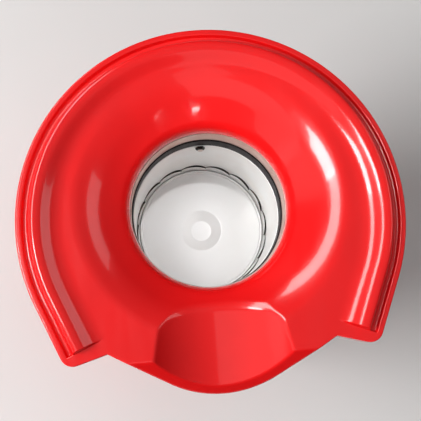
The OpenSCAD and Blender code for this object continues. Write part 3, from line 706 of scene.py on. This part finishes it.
def make_wall():
    """The drawn wall, whose foot is cut in an arch over each louvre."""
    n = LOUVRES * 28
    angle = np.linspace(0, 2 * math.pi, n, endpoint=False) + LOUVRE_START
    t = louvre_t(angle)
    foot = FLOOR_Z + ARCH_FOOT + ARCH_H * np.sin(math.pi * t) ** ARCH_SHAPE
    levels = [0, 0.15, 0.5, 1.0]        # shares of the wall's height
    rings = []

    def ring(r, z):
        rings.append(np.stack([AXIS[0] + r * np.cos(angle), AXIS[1] + r * np.sin(angle),
                               np.broadcast_to(z, (n,))], 1))

    top = RING_Z0 - 0.5
    for level in levels:
        ring(WALL_R, foot + (top - foot) * level)
    for r, z in arc_section((WALL_R + 0.5, top), 0.5, 180, 90, 4)[1:]:
        ring(r, z)
    ring(WALL_R + FLANGE_W, top + 0.5)
    ring(WALL_R + FLANGE_W, top - 0.3)
    ring(WALL_R + WALL_T, top - 0.3)
    for level in levels[::-1]:
        ring(WALL_R + WALL_T, foot + (top - 0.5 - foot) * level)
    mesh_object("chamber_barrel", np.concatenate(rings), ring_faces(len(rings), n), WALL_METAL,
                ["chamber_wall"])


def make_louvres():
    """Curved vanes round the floor, each leaning in more towards its free end."""
    along, up = 18, 7
    foot_r = FLOOR_R + 0.35
    points, faces = [], []
    for k in range(LOUVRES):
        base = len(points)
        for side in (0, 1):
            for i in range(along + 1):
                t = i / along
                angle = LOUVRE_START - (k + 0.02 + 1.02 * t) * 2 * math.pi / LOUVRES
                arch = math.sin(math.pi * (0.04 + 0.9 * t)) ** VANE_SHAPE
                height = VANE_FOOT + VANE_H * arch
                lean = VANE_LEAN + VANE_LEAN_GAIN * t ** 1.2
                for j in range(up + 1):
                    s = j / up
                    r = foot_r + (WALL_R - lean - foot_r) * s ** 0.8 + VANE_T * side
                    z = FLOOR_Z - VANE_FOOT + (height + VANE_FOOT) * s
                    points.append((AXIS[0] + r * math.cos(angle),
                                   AXIS[1] + r * math.sin(angle), z))
        half = (along + 1) * (up + 1)

        def at(side, i, j):
            return base + side * half + i * (up + 1) + j

        for i in range(along):
            for j in range(up):
                faces.append((at(0, i, j), at(0, i + 1, j), at(0, i + 1, j + 1), at(0, i, j + 1)))
                faces.append((at(1, i, j), at(1, i, j + 1), at(1, i + 1, j + 1), at(1, i + 1, j)))
            faces.append((at(0, i, up), at(0, i + 1, up), at(1, i + 1, up), at(1, i, up)))
            faces.append((at(0, i, 0), at(1, i, 0), at(1, i + 1, 0), at(0, i + 1, 0)))
        for j in range(up):
            faces.append((at(0, 0, j), at(0, 0, j + 1), at(1, 0, j + 1), at(1, 0, j)))
            faces.append((at(0, along, j), at(1, along, j), at(1, along, j + 1),
                          at(0, along, j + 1)))
    mesh_object("louvre_vanes", points, faces, WALL_METAL, [])


def make_floor():
    """The floor disc with its rolled edge and its round sunken centre."""
    dish_r, dish_in, dish_h, sheet = 15.2, 8.4, 3.4, 0.9
    section = [(0.01, FLOOR_Z - dish_h)]
    section += arc_section((dish_in - 1.2, FLOOR_Z - dish_h + 1.2), 1.2, 270, 320, 4)
    section += arc_section((dish_r + 0.4, FLOOR_Z - 1.4), 1.4, 135, 90, 4)
    section += [(FLOOR_R - 6, FLOOR_Z), (FLOOR_R - 2.6, FLOOR_Z), (FLOOR_R - 2.1, FLOOR_Z)]
    section += arc_section((FLOOR_R - 0.9, FLOOR_Z), 0.9, 150, -90, 12)
    section += [(FLOOR_R - 2, FLOOR_Z - sheet), (dish_r + 0.6, FLOOR_Z - sheet),
                (dish_in + 0.4, FLOOR_Z - dish_h - sheet), (0.01, FLOOR_Z - dish_h - sheet)]
    points, faces = lathe(section)
    mesh_object("chamber_base", points, faces, FINISHES["aluminium"],
                ["chamber_floor"], sharp=32)


def make_clip():
    """The small bevelled clip that a screw holds on the chamber's rear wall."""
    low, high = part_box("retaining_clip")
    centre, half = (low + high) / 2 / MM, (high - low) / 2 / MM
    front, back = low.y / MM + 0.05, high.y / MM - 0.05
    sides, hole_r = 6, 1.4
    turn = np.linspace(0, 2 * math.pi, sides, endpoint=False)
    wide, tall = half.x - 0.05, half.z / math.sin(math.pi / sides * 2)
    # Half width, half height and place of each ring, from the hole's rear over the bevel
    sections = [(hole_r, hole_r, back), (wide, tall, back), (wide, tall, front + 0.9),
                (0.86 * wide, 0.86 * tall, front + 0.3), (0.62 * wide, 0.62 * tall, front),
                (hole_r, hole_r, front)]
    rings = [np.stack([centre.x + w * np.cos(turn), np.full(sides, y),
                       centre.z + h * np.sin(turn)], 1) for w, h, y in sections]
    mesh_object("clip", np.concatenate(rings), ring_faces(len(rings), sides), CLIP_BLACK,
                ["retaining_clip"], sharp=25)


make_collar()
make_insulator()
make_wall()
make_louvres()
make_floor()
make_clip()

# ---------- floor and light ----------


def studio_floor():
    mesh = bpy.data.meshes.new("studio_floor")
    half = 3.0
    mesh.from_pydata([(-half, -half, 0), (half, -half, 0), (half, half, 0), (-half, half, 0)],
                     [], [(0, 1, 2, 3)])
    f = Finish("pale_floor", specular=0.2)
    f.colour(f.mix(f.spread(f.noise(300), 0, 1), (0.7, 0.69, 0.68), (0.74, 0.73, 0.72)))
    f.rough(f.noise(40), 0.7, 0.8)
    mesh.materials.append(f.material)
    o = bpy.data.objects.new("studio_floor", mesh)
    bpy.context.scene.collection.objects.link(o)


def area_light(name, place, tilt, size, power, sees=("diffuse", "glossy")):
    """A softbox at place, turned by tilt degrees about X and Y from pointing straight down."""
    data = bpy.data.lights.new(name, "AREA")
    data.shape = "RECTANGLE"
    data.size, data.size_y = size
    data.energy = power
    o = bpy.data.objects.new(name, data)
    o.location = place
    o.rotation_euler = [math.radians(t) for t in (*tilt, 0)]
    o.visible_diffuse = "diffuse" in sees
    o.visible_glossy = "glossy" in sees
    bpy.context.scene.collection.objects.link(o)


studio_floor()
area_light("window", (-0.46, 0.02, 1.2), (0, -18), (0.24, 0.24), 4.6, ["glossy"])
area_light("strip", (-0.46, 0.55, 1.2), (-18, -18), (0.22, 0.9), 6.6, ["glossy"])
area_light("front_left", (-1.05, -0.85, 1.9), (0, 0), (2.7, 0.8), 5.0, ["glossy"])
area_light("lamp", (0.18, -0.89, 1.2), (0, 0), (0.09, 0.012), 0.15, ["glossy"])
area_light("far_lamp", (0.6, -0.77, 1.2), (0, 0), (0.12, 0.01), 0.04, ["glossy"])
area_light("right_window", (0.95, 0.36, 1.2), (0, 42), (0.34, 0.7), 1.5, ["glossy"])
area_light("overhead", (0.15, 0.1, 1.9), (0, 0), (1.2, 1.2), 5, ["diffuse"])
area_light("side", (-1.55, -0.1, 1.28), (0, -56), (1.0, 1.0), 46, ["diffuse"])

snoot = bpy.data.lights.new("snoot", "SPOT")
snoot.energy, snoot.shadow_soft_size = 115, 0.05
snoot.spot_size, snoot.spot_blend = math.radians(3.2), 0.5
snoot_object = bpy.data.objects.new("snoot", snoot)
snoot_object.location = (0, AXIS_Y * MM + 0.3, 1.9)
snoot_object.rotation_euler = [math.radians(-9.3), math.radians(0.25), 0]
snoot_object.visible_glossy = False
bpy.context.scene.collection.objects.link(snoot_object)

# A soft sky that brightens towards the zenith
world = bpy.data.worlds.new("world")
world.use_nodes = True
sky = world.node_tree
up = sky.nodes.new("ShaderNodeSeparateXYZ")
glow = sky.nodes.new("ShaderNodeMapRange")
glow.interpolation_type = "SMOOTHSTEP"
glow.inputs["From Min"].default_value, glow.inputs["From Max"].default_value = 0.25, 0.95
glow.inputs["To Min"].default_value, glow.inputs["To Max"].default_value = 0.05, 0.28
sky.links.new(sky.nodes.new("ShaderNodeTexCoord").outputs["Generated"], up.inputs["Vector"])
sky.links.new(up.outputs["Z"], glow.inputs["Value"])
sky.links.new(glow.outputs["Result"], sky.nodes["Background"].inputs["Strength"])
sky.nodes["Background"].inputs["Color"].default_value = (1, 1, 1, 1)
bpy.context.scene.world = world
bpy.context.scene.view_settings.view_transform = "Standard"
